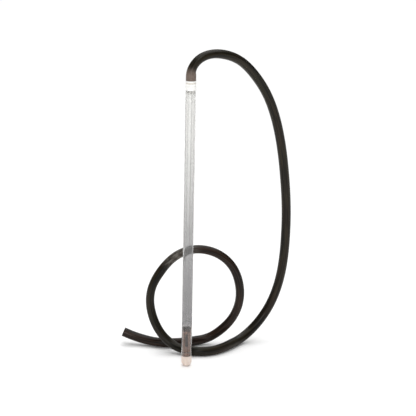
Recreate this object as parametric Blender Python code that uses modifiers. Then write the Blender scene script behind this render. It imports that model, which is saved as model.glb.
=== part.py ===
"""Self-priming siphon wand for vacuuming a pool floor.

A clear rigid tube stands on a soft nose tip. A check valve inside its lower end lets water in and keeps
it there, so that pumping the wand up and down fills the hose and starts the siphon. A white union joins
the tube's top to a long flexible hose, which arches over, comes down to the floor and makes one loop.

Frame: metres, +Z up along the tube, origin on the floor under the middle of the nose tip.
"""

import math

import bpy
import bmesh
import numpy as np
from mathutils import Matrix

# ---- Driving dimensions, in metres ---------------------------------------------------------------

TUBE_LENGTH = 0.900
TUBE_OD = 0.034
TUBE_WALL = 0.002

FIT_GAP = 0.0003  # between pieces that seat on each other
SLIDE_GAP = 0.0004  # between pieces that move on each other

NOSE_HEIGHT = 0.035  # floor to the tube's lower end
NOSE_DOME_HEIGHT = 0.0165
NOSE_FOOT_RADIUS = 0.009
NOSE_MOUTH_RADIUS = 0.0055
NOSE_CAVITY_WALL = 0.0072
NOSE_NOTCH_WIDTH = 0.003
NOSE_NOTCH_DEPTH = 0.0025

NECK_LENGTH = 0.0145  # of the valve body, into the nose
NECK_STEP = 0.003  # from the tube's bore in to the neck
NECK_TO_FLOOR_OF_SOCKET = 0.001
BODY_HEIGHT = 0.0265  # of the valve body above the tube's lower end
SEAT_LAND = 0.0030  # radial width that the seal covers

CAGE_HEIGHT = 0.060
CAGE_WALL = 0.0015
CAGE_WINDOW_WIDTH = 0.0095
CAGE_WINDOW_MARGIN = 0.0070  # whole sleeve left above and below a window
CAGE_WINDOWS = 4

CAP_WEB = 0.0035
CAP_RIM_HEIGHT = 0.0115
CAP_SKIRT_DEPTH = 0.003
CAP_SKIRT_WALL = 0.0013
CAP_NOTCHES = 12
CAP_NOTCH_WIDTH = 0.0022
CAP_NOTCH_DEPTH = 0.0045
CAP_HUB_WALL = 0.0014
CAP_PORTS = 4
CAP_PORT_ANGLE = math.radians(62.0)
CAP_PORT_MARGIN = 0.0003  # from a port to the hub and to the skirt

POPPET_LIFT = 0.010
POPPET_FLOW_GAP = 0.0024  # from the seal's edge to the cage
POPPET_HEAD_HEIGHT = 0.005
POPPET_HEAD_INSET = 0.0003  # head inside the seal's edge
STEM_RADIUS = 0.0045
GUIDE_RADIUS = 0.003  # thin upper stem, which runs in the cap's hub
GUIDE_PROUD = 0.006  # thin stem above the cap's web, valve shut
SEAL_THICKNESS = 0.002
BUTTON_GAP = 0.0012  # from the button to the seat's bore
BUTTON_LIP = 0.0016  # of the button under the seal
BUTTON_HEIGHT = 0.0025

O_RING_SECTION = 0.0020
O_RING_SIDE_GAP = 0.0003

SPIGOT_LENGTH = 0.0115  # of the bush, into the tube
BUSH_WALL = 0.0047
BUSH_FLANGE_HEIGHT = 0.0132
BUSH_FLANGE_PROUD = 0.0004  # beyond the tube's outside
BUSH_NECK_HEIGHT = 0.009

NUT_WALL = 0.0022
NUT_HEIGHT = 0.0172
NUT_LIP = 0.0031
NUT_WAIST_HEIGHT = 0.0045
NUT_WAIST_DEPTH = 0.0010
NUT_TOP_RIM = 0.0050  # above the waist

WASHER_THICKNESS = 0.0015
WASHER_WALL = 0.0028
BARB_FLANGE_HEIGHT = 0.003
BARB_FLANGE_GRIP = 0.0012  # radial width that the nut's lip holds
BARB_DEPTH = 0.0014
BARB_STRETCH = 0.0005  # barb crests beyond the hose's own bore
BARB_BORE_RADIUS = 0.0085
BARB_TAIL_LENGTH = 0.0175
BARBS = 3

HOSE_OD = 0.0318
HOSE_WALL = 0.0032
HOSE_STEP = HOSE_OD  # between the points along the hose
HOSE_LEAD = 0.10 * HOSE_OD  # straight stretch on top of the cuff

EDGE = 0.0005  # chamfer on moulded edges
AROUND = 40  # facets round a turned piece

# ---- Sizes that follow from them -----------------------------------------------------------------

TUBE_RADIUS = TUBE_OD / 2
BORE_RADIUS = TUBE_RADIUS - TUBE_WALL
PLUG_RADIUS = BORE_RADIUS - FIT_GAP  # whatever seats in the tube
GROOVE_RADIUS = PLUG_RADIUS - O_RING_SECTION - FIT_GAP
GROOVE_WIDTH = O_RING_SECTION + 2 * O_RING_SIDE_GAP

TUBE_FOOT_Z = NOSE_HEIGHT + FIT_GAP
TUBE_TOP_Z = TUBE_FOOT_Z + TUBE_LENGTH

NECK_RADIUS = BORE_RADIUS - NECK_STEP
SOCKET_DEPTH = NECK_LENGTH + NECK_TO_FLOOR_OF_SOCKET
SEAT_Z = TUBE_FOOT_Z + BODY_HEIGHT
BODY_GROOVE_Z = TUBE_FOOT_Z + BODY_HEIGHT / 2

CAGE_INNER_RADIUS = PLUG_RADIUS - CAGE_WALL
CAGE_Z = SEAT_Z + FIT_GAP
CAP_Z = CAGE_Z + CAGE_HEIGHT + FIT_GAP
CAP_SKIRT_RADIUS = CAGE_INNER_RADIUS - FIT_GAP
HUB_BORE_RADIUS = GUIDE_RADIUS + SLIDE_GAP
HUB_RADIUS = HUB_BORE_RADIUS + CAP_HUB_WALL

SEAL_RADIUS = CAGE_INNER_RADIUS - POPPET_FLOW_GAP
SEAT_BORE_RADIUS = SEAL_RADIUS - SEAT_LAND
HEAD_RADIUS = SEAL_RADIUS - POPPET_HEAD_INSET
SEAL_Z = SEAT_Z + FIT_GAP
HEAD_Z = SEAL_Z + SEAL_THICKNESS + FIT_GAP
BUTTON_RADIUS = SEAT_BORE_RADIUS - BUTTON_GAP
SEAL_BORE_RADIUS = BUTTON_RADIUS - BUTTON_LIP
STUB_RADIUS = SEAL_BORE_RADIUS - FIT_GAP
SHOULDER_Z = CAP_Z - CAP_SKIRT_DEPTH - POPPET_LIFT - FIT_GAP
GUIDE_TOP_Z = CAP_Z + CAP_WEB + GUIDE_PROUD

HOSE_RADIUS = HOSE_OD / 2
HOSE_BORE_RADIUS = HOSE_RADIUS - HOSE_WALL
BARB_CREST_RADIUS = HOSE_BORE_RADIUS + BARB_STRETCH
BARB_VALLEY_RADIUS = BARB_CREST_RADIUS - BARB_DEPTH
NUT_LIP_RADIUS = BARB_CREST_RADIUS + SLIDE_GAP  # the nut goes on over the barbs
BARB_FLANGE_RADIUS = NUT_LIP_RADIUS + BARB_FLANGE_GRIP
NUT_BORE_RADIUS = BARB_FLANGE_RADIUS + SLIDE_GAP
NUT_RADIUS = NUT_BORE_RADIUS + NUT_WALL
BUSH_NECK_RADIUS = NUT_BORE_RADIUS - SLIDE_GAP

BUSH_BORE_RADIUS = PLUG_RADIUS - BUSH_WALL
BUSH_FLANGE_RADIUS = max(TUBE_RADIUS + BUSH_FLANGE_PROUD, NUT_BORE_RADIUS + NUT_WALL / 2)
BUSH_FLANGE_Z = TUBE_TOP_Z + FIT_GAP
NECK_TOP_Z = BUSH_FLANGE_Z + BUSH_FLANGE_HEIGHT + BUSH_NECK_HEIGHT
BUSH_GROOVE_Z = TUBE_TOP_Z - SPIGOT_LENGTH / 2

NUT_Z = BUSH_FLANGE_Z + BUSH_FLANGE_HEIGHT + FIT_GAP
NUT_TOP_Z = NUT_Z + NUT_HEIGHT
WASHER_Z = NECK_TOP_Z + FIT_GAP
WASHER_RADIUS = BUSH_NECK_RADIUS
BARB_FLANGE_Z = WASHER_Z + WASHER_THICKNESS + FIT_GAP
NUT_LIP_Z = NUT_TOP_Z - NUT_LIP
CUFF_BORE_RADIUS = BARB_CREST_RADIUS + FIT_GAP
CUFF_Z = NUT_TOP_Z + FIT_GAP
CUFF_HEIGHT = BARB_TAIL_LENGTH
HOSE_Z = CUFF_Z + CUFF_HEIGHT + FIT_GAP

# The hose's route. The arch is measured from the hose's start on top of the cuff, and the rest from
# the floor under the nose, where the hose lies with its middle one radius up.
HOSE_ARCH = (
    (0.000, 0.000, HOSE_LEAD),
    (0.021, 0.010, 0.045),
    (0.060, 0.033, 0.061),
    (0.098, 0.060, 0.057),
    (0.152, 0.103, 0.031),
    (0.204, 0.149, -0.025),
    (0.250, 0.188, -0.102),
    (0.286, 0.217, -0.205),
    (0.318, 0.246, -0.393),
)
HOSE_FALL = (
    (0.327, 0.257, 0.480),
    (0.328, 0.264, 0.378),
    (0.322, 0.269, 0.280),
    (0.306, 0.272, 0.193),
    (0.274, 0.269, 0.112),
    (0.233, 0.255, 0.055),
    (0.198, 0.233, 0.026),
)
HOSE_ON_FLOOR = (
    (0.165, 0.194, HOSE_RADIUS),
    (0.126, 0.138, HOSE_RADIUS),
    (0.081, 0.099, HOSE_RADIUS),
    (0.035, 0.091, HOSE_RADIUS),
)
HOSE_LOOP = (
    (-0.012, 0.104, 0.017),
    (-0.052, 0.120, 0.031),
    (-0.090, 0.131, 0.066),
    (-0.114, 0.139, 0.110),
    (-0.127, 0.146, 0.165),
    (-0.120, 0.150, 0.224),
    (-0.094, 0.154, 0.274),
    (-0.054, 0.158, 0.321),
    (-0.002, 0.162, 0.349),
    (0.055, 0.167, 0.351),
    (0.107, 0.172, 0.331),
    (0.149, 0.178, 0.289),
    (0.171, 0.183, 0.235),
    (0.175, 0.190, 0.168),
    (0.154, 0.197, 0.104),
    (0.115, 0.204, 0.055),
    (0.068, 0.206, 0.023),
)
HOSE_TAIL = (
    (0.022, 0.193, HOSE_RADIUS),
    (-0.025, 0.174, HOSE_RADIUS),
    (-0.072, 0.169, HOSE_RADIUS),
    (-0.118, 0.178, 0.017),
    (-0.158, 0.188, 0.023),
    (-0.192, 0.195, 0.032),
    (-0.219, 0.199, 0.042),
)


# ---- Building blocks -----------------------------------------------------------------------------


def clear_scene():
    for obj in list(bpy.data.objects):
        bpy.data.objects.remove(obj, do_unlink=True)


def new_collection(name):
    collection = bpy.data.collections.new(name)
    bpy.context.scene.collection.children.link(collection)
    return collection


def finish(name, colour, roughness, transmission=0.0):
    """A Principled material with one colour."""
    material = bpy.data.materials.new(name)
    material.use_nodes = True
    shader = material.node_tree.nodes["Principled BSDF"]
    shader.inputs["Base Color"].default_value = (*colour, 1.0)
    shader.inputs["Roughness"].default_value = roughness
    shader.inputs["Metallic"].default_value = 0.0
    shader.inputs["Transmission Weight"].default_value = transmission
    return material


def empty(name, z, collection, parent=None):
    """A reference point on the wand's axis."""
    obj = bpy.data.objects.new(name, None)
    obj.empty_display_size = 0.02
    collection.objects.link(obj)
    obj.parent = parent
    obj.location = (0.0, 0.0, z - (parent.location.z if parent else 0.0))
    return obj


def place(obj, parent, z, material, collection):
    """Puts an object whose shape starts at its own z = 0 at height z, under its parent."""
    collection.objects.link(obj)
    obj.parent = parent
    obj.location = (0.0, 0.0, z - parent.location.z)
    obj.data.materials.append(material)


def turned(name, outline, around=AROUND):
    """A turned body. The outline is a closed ring of (radius, height), down its outer side first."""
    mesh = bpy.data.meshes.new(name)
    shape = bmesh.new()
    points = [shape.verts.new((radius, 0.0, height)) for radius, height in outline]
    on_axis = outline[0][0] == 0.0 and outline[-1][0] == 0.0
    for first, second in zip(points, points[1:]):
        shape.edges.new((first, second))
    if not on_axis:
        shape.edges.new((points[-1], points[0]))
    shape.to_mesh(mesh)
    shape.free()
    obj = bpy.data.objects.new(name, mesh)
    screw = obj.modifiers.new("Turn", "SCREW")
    screw.angle = 2 * math.pi
    screw.steps = around
    screw.render_steps = around
    screw.use_merge_vertices = True
    screw.merge_threshold = 0.00001
    screw.use_smooth_shade = True
    return obj


def grooved(radius, top, bottom, groove_z):
    """The outer side of a plug from top to bottom, with chamfered ends and one O-ring groove."""
    half = GROOVE_WIDTH / 2
    return [
        (radius - EDGE, top),
        (radius, top - EDGE),
        (radius, groove_z + half),
        (GROOVE_RADIUS, groove_z + half),
        (GROOVE_RADIUS, groove_z - half),
        (radius, groove_z - half),
        (radius, bottom + EDGE),
        (radius - EDGE, bottom),
    ]


def block(name, size, centre, turn, collection):
    """A box cutter, turned about the wand's axis."""
    mesh = bpy.data.meshes.new(name)
    shape = bmesh.new()
    bmesh.ops.create_cube(shape, size=1.0)
    bmesh.ops.scale(shape, vec=size, verts=shape.verts)
    bmesh.ops.translate(shape, vec=centre, verts=shape.verts)
    shape.to_mesh(mesh)
    shape.free()
    return cutter(name, mesh, turn, collection)


def rod(name, radius, length, centre, turn, collection):
    """A round cutter that lies along the radius, turned about the wand's axis."""
    mesh = bpy.data.meshes.new(name)
    shape = bmesh.new()
    bmesh.ops.create_cone(
        shape, cap_ends=True, segments=16, radius1=radius, radius2=radius, depth=length
    )
    quarter = Matrix.Rotation(math.pi / 2, 3, "Y")
    bmesh.ops.rotate(shape, cent=(0, 0, 0), matrix=quarter, verts=shape.verts)
    bmesh.ops.translate(shape, vec=centre, verts=shape.verts)
    shape.to_mesh(mesh)
    shape.free()
    return cutter(name, mesh, turn, collection)


def sector(name, radii, heights, angle, turn, collection):
    """A cutter shaped as a piece of a ring, with its middle turned about the wand's axis."""
    mesh = bpy.data.meshes.new(name)
    shape = bmesh.new()
    (inner, outer), (low, high) = radii, heights
    corners = [(inner, low), (outer, low), (outer, high), (inner, high)]
    face = shape.faces.new([shape.verts.new((radius, 0.0, z)) for radius, z in corners])
    start = Matrix.Rotation(-angle / 2, 3, "Z")
    bmesh.ops.rotate(shape, cent=(0, 0, 0), matrix=start, verts=shape.verts)
    bmesh.ops.spin(
        shape, geom=[face], cent=(0, 0, 0), axis=(0, 0, 1), dvec=(0, 0, 0), angle=angle, steps=8
    )
    bmesh.ops.recalc_face_normals(shape, faces=shape.faces)
    shape.to_mesh(mesh)
    shape.free()
    return cutter(name, mesh, turn, collection)


def cutter(name, mesh, turn, collection):
    obj = bpy.data.objects.new(name, mesh)
    obj.rotation_euler.z = turn
    obj.hide_render = True
    obj.display_type = "WIRE"
    collection.objects.link(obj)
    return obj


def cut(obj, tools):
    """Cuts each tool from the object, in order."""
    for tool in tools:
        step = obj.modifiers.new("Cut " + tool.name, "BOOLEAN")
        step.operation = "DIFFERENCE"
        step.solver = "EXACT"
        step.object = tool


def o_ring(name, groove_z, parent, material, collection):
    """A round-section seal between a plug's groove and the tube's bore."""
    bpy.ops.mesh.primitive_torus_add(
        major_segments=32,
        minor_segments=8,
        major_radius=GROOVE_RADIUS + FIT_GAP + O_RING_SECTION / 2,
        minor_radius=O_RING_SECTION / 2,
    )
    obj = bpy.context.object
    obj.name = name
    obj.data.name = name
    obj.data.shade_smooth()
    for old in list(obj.users_collection):
        old.objects.unlink(obj)
    place(obj, parent, groove_z, material, collection)


def smooth_route(points, spacing, start_direction, lowest):
    """Points along the smooth curve through the given ones, evenly apart and no lower than lowest.

    The curve is a cubic spline over chord length. It leaves the first point in start_direction and
    ends with no bend.
    """
    knots = np.array(points, dtype=float)
    chords = np.linalg.norm(np.diff(knots, axis=0), axis=1)
    at = np.concatenate([[0.0], np.cumsum(chords)])
    slopes = np.diff(knots, axis=0) / chords[:, None]
    count = len(knots)
    system = np.eye(count)
    wanted = np.zeros((count, 3))
    system[0, :2] = 2 * chords[0], chords[0]
    wanted[0] = 6 * (slopes[0] - np.array(start_direction))
    for i in range(1, count - 1):
        system[i, i - 1 : i + 2] = chords[i - 1], 2 * (chords[i - 1] + chords[i]), chords[i]
        wanted[i] = 6 * (slopes[i] - slopes[i - 1])
    bends = np.linalg.solve(system, wanted)

    def curve(u):
        i = np.clip(np.searchsorted(at, u, side="right") - 1, 0, count - 2)
        size = chords[i][:, None]
        left = (at[i + 1] - u)[:, None]
        right = (u - at[i])[:, None]
        return (
            (bends[i] * left**3 + bends[i + 1] * right**3) / (6 * size)
            + (knots[i] / size - bends[i] * size / 6) * left
            + (knots[i + 1] / size - bends[i + 1] * size / 6) * right
        )

    fine = np.linspace(0.0, at[-1], 4000)
    track = curve(fine)
    track[:, 2] = np.maximum(track[:, 2], lowest)
    run = np.concatenate([[0.0], np.cumsum(np.linalg.norm(np.diff(track, axis=0), axis=1))])
    stations = np.linspace(0.0, run[-1], round(run[-1] / spacing) + 1)
    return np.stack([np.interp(stations, run, track[:, axis]) for axis in range(3)], axis=1)


# ---- The pieces ----------------------------------------------------------------------------------


def clear_tube(parts, wand):
    """The long rigid tube, open at both ends."""
    outline = [
        (TUBE_RADIUS, TUBE_LENGTH),
        (TUBE_RADIUS, 0.0),
        (BORE_RADIUS, 0.0),
        (BORE_RADIUS, TUBE_LENGTH),
    ]
    tube = turned("clear_tube", outline)
    place(tube, wand, TUBE_FOOT_Z, finish("Clear plastic", (0.9, 0.9, 0.88), 0.08, 0.9), parts)


def nose_tip(parts, cutters, wand):
    """The soft domed tip: a socket for the valve's neck, an intake mouth, and a notched foot."""
    socket_radius = NECK_RADIUS + FIT_GAP
    socket_floor = NOSE_HEIGHT - SOCKET_DEPTH
    cavity_radius = TUBE_RADIUS - NOSE_CAVITY_WALL
    start = math.acos(NOSE_FOOT_RADIUS / TUBE_RADIUS)
    steps = 7
    rise = NOSE_DOME_HEIGHT / math.sin(start)
    dome = [
        (
            TUBE_RADIUS * math.cos(start * i / steps),
            NOSE_DOME_HEIGHT - rise * math.sin(start * i / steps),
        )
        for i in range(steps + 1)
    ]
    outline = [
        (TUBE_RADIUS - EDGE, NOSE_HEIGHT),
        (TUBE_RADIUS, NOSE_HEIGHT - EDGE),
        *dome[:-1],
        (NOSE_FOOT_RADIUS, 0.0),
        (NOSE_MOUTH_RADIUS, 0.0),
        (NOSE_MOUTH_RADIUS, NOSE_DOME_HEIGHT / 2),
        (cavity_radius, socket_floor - EDGE),
        (cavity_radius, socket_floor),
        (socket_radius, socket_floor),
        (socket_radius, NOSE_HEIGHT),
    ]
    nose = turned("nose_tip", outline)
    place(nose, wand, 0.0, finish("Cream soft plastic", (0.82, 0.66, 0.54), 0.35), parts)
    size = (2 * TUBE_OD, NOSE_NOTCH_WIDTH, 2 * NOSE_NOTCH_DEPTH)
    tools = [
        block(f"foot_notch_{i}", size, (0.0, 0.0, 0.0), math.pi / 4 + i * math.pi / 2, cutters)
        for i in range(2)
    ]
    cut(nose, tools)


def valve_body(parts, wand):
    """The plug in the tube's lower end: neck into the nose, O-ring groove, flat seat on top."""
    top = SEAT_Z - TUBE_FOOT_Z
    neck_end = -NECK_LENGTH
    outline = [
        *grooved(PLUG_RADIUS, top, 0.0, BODY_GROOVE_Z - TUBE_FOOT_Z),
        (NECK_RADIUS, 0.0),
        (NECK_RADIUS, neck_end + EDGE),
        (NECK_RADIUS - EDGE, neck_end),
        (SEAT_BORE_RADIUS, neck_end),
        (SEAT_BORE_RADIUS, top),
    ]
    body = turned("valve_body", outline)
    place(body, wand, TUBE_FOOT_Z, finish("Brown plastic", (0.17, 0.12, 0.095), 0.45), parts)


def valve_cage(parts, cutters, wand):
    """The sleeve that the poppet moves in, with tall round-ended windows."""
    outline = [
        (PLUG_RADIUS, CAGE_HEIGHT),
        (PLUG_RADIUS, 0.0),
        (CAGE_INNER_RADIUS, 0.0),
        (CAGE_INNER_RADIUS, CAGE_HEIGHT),
    ]
    cage = turned("valve_cage", outline)
    place(cage, wand, CAGE_Z, finish("Taupe plastic", (0.30, 0.235, 0.20), 0.45), parts)
    half = CAGE_WINDOW_WIDTH / 2
    reach = TUBE_OD
    low = CAGE_Z + CAGE_WINDOW_MARGIN + half
    high = CAGE_Z + CAGE_HEIGHT - CAGE_WINDOW_MARGIN - half
    tools = []
    for i in range(CAGE_WINDOWS // 2):
        turn = math.pi * i / (CAGE_WINDOWS // 2)
        size = (2 * reach, CAGE_WINDOW_WIDTH, high - low)
        middle = (0.0, 0.0, (high + low) / 2)
        tools.append(block(f"cage_window_{i}", size, middle, turn, cutters))
        for end, z in (("low", low), ("high", high)):
            name = f"cage_window_{i}_{end}"
            tools.append(rod(name, half, 2 * reach, (0, 0, z), turn, cutters))
    cut(cage, tools)


def cage_cap(parts, cutters, wand):
    """The castellated crown on the cage: a web with flow ports and a hub that guides the stem."""
    skirt_inner = CAP_SKIRT_RADIUS - CAP_SKIRT_WALL
    outline = [
        (PLUG_RADIUS, CAP_RIM_HEIGHT),
        (PLUG_RADIUS, 0.0),
        (CAP_SKIRT_RADIUS, 0.0),
        (CAP_SKIRT_RADIUS, -CAP_SKIRT_DEPTH),
        (skirt_inner, -CAP_SKIRT_DEPTH),
        (skirt_inner, 0.0),
        (HUB_RADIUS, 0.0),
        (HUB_RADIUS, -CAP_SKIRT_DEPTH),
        (HUB_BORE_RADIUS, -CAP_SKIRT_DEPTH),
        (HUB_BORE_RADIUS, CAP_WEB),
        (CAGE_INNER_RADIUS, CAP_WEB),
        (CAGE_INNER_RADIUS, CAP_RIM_HEIGHT),
    ]
    cap = turned("cage_cap", outline)
    place(cap, wand, CAP_Z, finish("Dark brown plastic", (0.075, 0.055, 0.045), 0.45), parts)
    size = (2 * TUBE_OD, CAP_NOTCH_WIDTH, 2 * CAP_NOTCH_DEPTH)
    top = CAP_Z + CAP_RIM_HEIGHT
    step = 2 * math.pi / CAP_NOTCHES
    tools = [
        block(f"crown_notch_{i}", size, (0.0, 0.0, top), i * step, cutters)
        for i in range(CAP_NOTCHES // 2)
    ]
    radii = (HUB_RADIUS + CAP_PORT_MARGIN, skirt_inner - CAP_PORT_MARGIN)
    heights = (CAP_Z - CAP_WEB, CAP_Z + 2 * CAP_WEB)
    step = 2 * math.pi / CAP_PORTS
    tools += [
        sector(f"flow_port_{i}", radii, heights, CAP_PORT_ANGLE, i * step, cutters)
        for i in range(CAP_PORTS)
    ]
    cut(cap, tools)


def poppet(parts, slide):
    """The piece that lifts: thin guide stem, thick stem, head, and a button that holds the seal."""
    zero = SEAL_Z
    outline = [
        (0.0, GUIDE_TOP_Z - zero),
        (GUIDE_RADIUS - EDGE, GUIDE_TOP_Z - zero),
        (GUIDE_RADIUS, GUIDE_TOP_Z - EDGE - zero),
        (GUIDE_RADIUS, SHOULDER_Z - zero),
        (STEM_RADIUS, SHOULDER_Z - zero),
        (STEM_RADIUS, HEAD_Z + POPPET_HEAD_HEIGHT - zero),
        (HEAD_RADIUS - 2 * EDGE, HEAD_Z + POPPET_HEAD_HEIGHT - zero),
        (HEAD_RADIUS, HEAD_Z + POPPET_HEAD_HEIGHT - 2 * EDGE - zero),
        (HEAD_RADIUS, HEAD_Z - zero),
        (STUB_RADIUS, HEAD_Z - zero),
        (STUB_RADIUS, -FIT_GAP),
        (BUTTON_RADIUS, -FIT_GAP),
        (BUTTON_RADIUS - EDGE, -FIT_GAP - BUTTON_HEIGHT),
        (0.0, -FIT_GAP - BUTTON_HEIGHT),
    ]
    piece = turned("poppet", outline, around=28)
    place(piece, slide, zero, finish("Poppet plastic", (0.06, 0.045, 0.04), 0.4), parts)


def poppet_seal(parts, slide):
    """The flat rubber washer under the poppet's head."""
    outline = [
        (SEAL_RADIUS, SEAL_THICKNESS),
        (SEAL_RADIUS, 0.0),
        (SEAL_BORE_RADIUS, 0.0),
        (SEAL_BORE_RADIUS, SEAL_THICKNESS),
    ]
    seal = turned("poppet_seal", outline, around=28)
    place(seal, slide, SEAL_Z, finish("Seal rubber", (0.02, 0.02, 0.02), 0.7), parts)


def tube_bush(parts, wand):
    """The white bush in the tube's top: grooved spigot, flange on the tube's end, and a neck."""
    zero = BUSH_FLANGE_Z
    flange_top = BUSH_FLANGE_HEIGHT
    spigot_end = TUBE_TOP_Z - SPIGOT_LENGTH - zero
    spigot = grooved(PLUG_RADIUS, 0.0, spigot_end, BUSH_GROOVE_Z - zero)
    outline = [
        (BUSH_NECK_RADIUS - EDGE, NECK_TOP_Z - zero),
        (BUSH_NECK_RADIUS, NECK_TOP_Z - EDGE - zero),
        (BUSH_NECK_RADIUS, flange_top),
        (BUSH_FLANGE_RADIUS - EDGE, flange_top),
        (BUSH_FLANGE_RADIUS, flange_top - EDGE),
        (BUSH_FLANGE_RADIUS, EDGE),
        (BUSH_FLANGE_RADIUS - EDGE, 0.0),
        (PLUG_RADIUS, 0.0),
        *spigot[2:],
        (BUSH_BORE_RADIUS, spigot_end),
        (BUSH_BORE_RADIUS, NECK_TOP_Z - zero),
    ]
    bush = turned("tube_bush", outline)
    place(bush, wand, zero, finish("White plastic", (0.86, 0.86, 0.83), 0.35), parts)


def coupling_nut(parts, turn):
    """The white union nut. It turns on the bush's neck and clamps the barb's flange with its lip."""
    height = NUT_HEIGHT
    waist_top = height - NUT_TOP_RIM
    waist_low = waist_top - NUT_WAIST_HEIGHT
    waist = NUT_RADIUS - NUT_WAIST_DEPTH
    outline = [
        (NUT_RADIUS - EDGE, height),
        (NUT_RADIUS, height - EDGE),
        (NUT_RADIUS, waist_top),
        (waist, waist_top - EDGE),
        (waist, waist_low + EDGE),
        (NUT_RADIUS, waist_low),
        (NUT_RADIUS, EDGE),
        (NUT_RADIUS - EDGE, 0.0),
        (NUT_BORE_RADIUS, 0.0),
        (NUT_BORE_RADIUS, NUT_LIP_Z - NUT_Z),
        (NUT_LIP_RADIUS, NUT_LIP_Z - NUT_Z),
        (NUT_LIP_RADIUS, height),
    ]
    nut = turned("coupling_nut", outline)
    place(nut, turn, NUT_Z, finish("White nut plastic", (0.88, 0.88, 0.86), 0.35), parts)


def face_washer(parts, wand):
    """The flat seal between the bush's neck and the barb's flange."""
    outline = [
        (WASHER_RADIUS, WASHER_THICKNESS),
        (WASHER_RADIUS, 0.0),
        (WASHER_RADIUS - WASHER_WALL, 0.0),
        (WASHER_RADIUS - WASHER_WALL, WASHER_THICKNESS),
    ]
    washer = turned("face_washer", outline)
    place(washer, wand, WASHER_Z, finish("Washer rubber", (0.025, 0.025, 0.025), 0.7), parts)


def hose_barb(parts, wand):
    """The tail that the hose is pushed over, with a flange under the nut's lip."""
    zero = BARB_FLANGE_Z
    tail_z = CUFF_Z - zero
    pitch = BARB_TAIL_LENGTH / BARBS
    saw = []
    for i in reversed(range(BARBS)):
        crest = tail_z + i * pitch + EDGE
        saw += [
            (BARB_VALLEY_RADIUS, crest + pitch - EDGE),
            (BARB_CREST_RADIUS, crest),
            (BARB_VALLEY_RADIUS, crest - EDGE),
        ]
    outline = [
        *saw,
        (BARB_CREST_RADIUS, tail_z - FIT_GAP),
        (BARB_CREST_RADIUS, BARB_FLANGE_HEIGHT),
        (BARB_FLANGE_RADIUS, BARB_FLANGE_HEIGHT),
        (BARB_FLANGE_RADIUS, 0.0),
        (BARB_BORE_RADIUS, 0.0),
        (BARB_BORE_RADIUS, tail_z + BARB_TAIL_LENGTH),
    ]
    barb = turned("hose_barb", outline)
    place(barb, wand, zero, finish("Barb plastic", (0.84, 0.84, 0.81), 0.35), parts)


def hose_cuff(parts, wand, vinyl):
    """The end of the hose, stretched over the barb."""
    outer = CUFF_BORE_RADIUS + HOSE_WALL
    outline = [
        (outer, CUFF_HEIGHT),
        (outer, EDGE),
        (outer - EDGE, 0.0),
        (CUFF_BORE_RADIUS, 0.0),
        (CUFF_BORE_RADIUS, CUFF_HEIGHT),
    ]
    place(turned("hose_cuff", outline), wand, CUFF_Z, vinyl, parts)


def hose_points():
    """The middle of the hose, from the top of the cuff to its free end."""
    arch = [(x, y, HOSE_Z + z) for x, y, z in HOSE_ARCH]
    route = [*arch, *HOSE_FALL, *HOSE_ON_FLOOR, *HOSE_LOOP, *HOSE_TAIL]
    bent = smooth_route(route, HOSE_STEP, (0.0, 0.0, 1.0), HOSE_RADIUS)
    return [(0.0, 0.0, HOSE_Z), *bent]


def hose(parts, wand, vinyl):
    """The free hose, as a plain round bar of its outside."""
    points = hose_points()
    curve = bpy.data.curves.new("hose", "CURVE")
    curve.dimensions = "3D"
    curve.bevel_depth = HOSE_RADIUS
    curve.bevel_resolution = 3
    curve.use_fill_caps = True
    line = curve.splines.new("POLY")
    line.points.add(len(points) - 1)
    for spot, (x, y, z) in zip(line.points, points):
        spot.co = (x, y, z, 1.0)
    line.use_smooth = True
    place(bpy.data.objects.new("hose", curve), wand, 0.0, vinyl, parts)


def main():
    clear_scene()
    parts = new_collection("siphon_wand")
    cutters = new_collection("cutters")
    wand = empty("wand_axis", 0.0, parts)
    slide = empty("poppet_slide", SEAL_Z, parts, wand)
    turn = empty("nut_turn", NUT_Z, parts, wand)

    clear_tube(parts, wand)
    nose_tip(parts, cutters, wand)
    valve_body(parts, wand)
    rubber = finish("O-ring rubber", (0.02, 0.02, 0.02), 0.6)
    o_ring("body_o_ring", BODY_GROOVE_Z, wand, rubber, parts)
    valve_cage(parts, cutters, wand)
    cage_cap(parts, cutters, wand)
    poppet(parts, slide)
    poppet_seal(parts, slide)
    tube_bush(parts, wand)
    o_ring("bush_o_ring", BUSH_GROOVE_Z, wand, rubber, parts)
    coupling_nut(parts, turn)
    face_washer(parts, wand)
    hose_barb(parts, wand)
    vinyl = finish("Dark vinyl", (0.03, 0.026, 0.02), 0.4)
    hose_cuff(parts, wand, vinyl)
    hose(parts, wand, vinyl)
    bpy.context.view_layer.update()


main()
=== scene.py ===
"""Siphon wand for vacuuming a pool floor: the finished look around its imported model.

A clear tube stands on a soft nose. Its valve shows through the lower end, and a white union joins its
top to a long dark vinyl hose. Each class below builds one sub-assembly. Its sizes are its fields, in
metres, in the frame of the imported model: +Z up along the tube, the origin on the floor under the nose.
"""

import logging
import math
from dataclasses import dataclass, field
from enum import Enum

import bmesh
import bpy
import numpy as np
from mathutils import Matrix, Vector


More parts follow.
